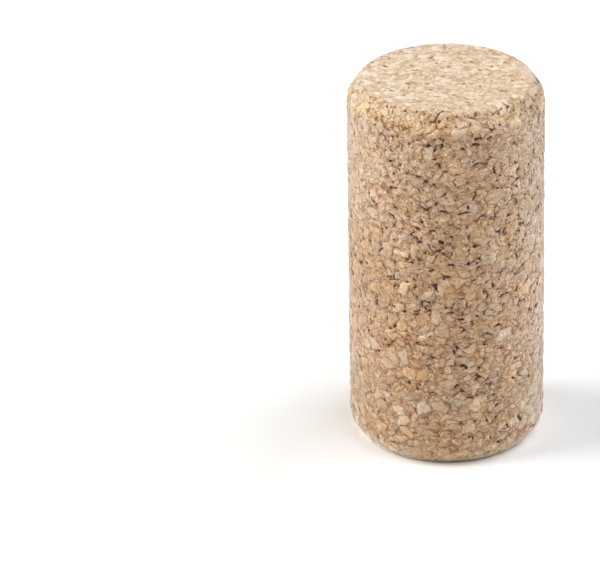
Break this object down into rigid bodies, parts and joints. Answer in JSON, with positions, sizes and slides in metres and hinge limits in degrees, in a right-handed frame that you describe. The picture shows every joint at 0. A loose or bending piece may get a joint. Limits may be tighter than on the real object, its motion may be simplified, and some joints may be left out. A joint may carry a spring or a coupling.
{
  "type": "cork stopper",
  "caption": "Straight cylindrical wine stopper of bonded cork granules, with a chamfered edge at each end; it plugs a bottle neck by being squeezed into it.",
  "frame": {"origin": "centre of the lower end face, on the surface that the stopper stands on", "axes": "+Z along the stopper's axis, towards the upper end face; X and Y are any two directions across it"},
  "size_m": [0.024, 0.024, 0.047],
  "materials": {
    "cork": "matt, ground and washed agglomerated cork with open pores"
  },
  "bodies": {
    "root": {"stopper": "cork"}
  },
  "joints": []
}
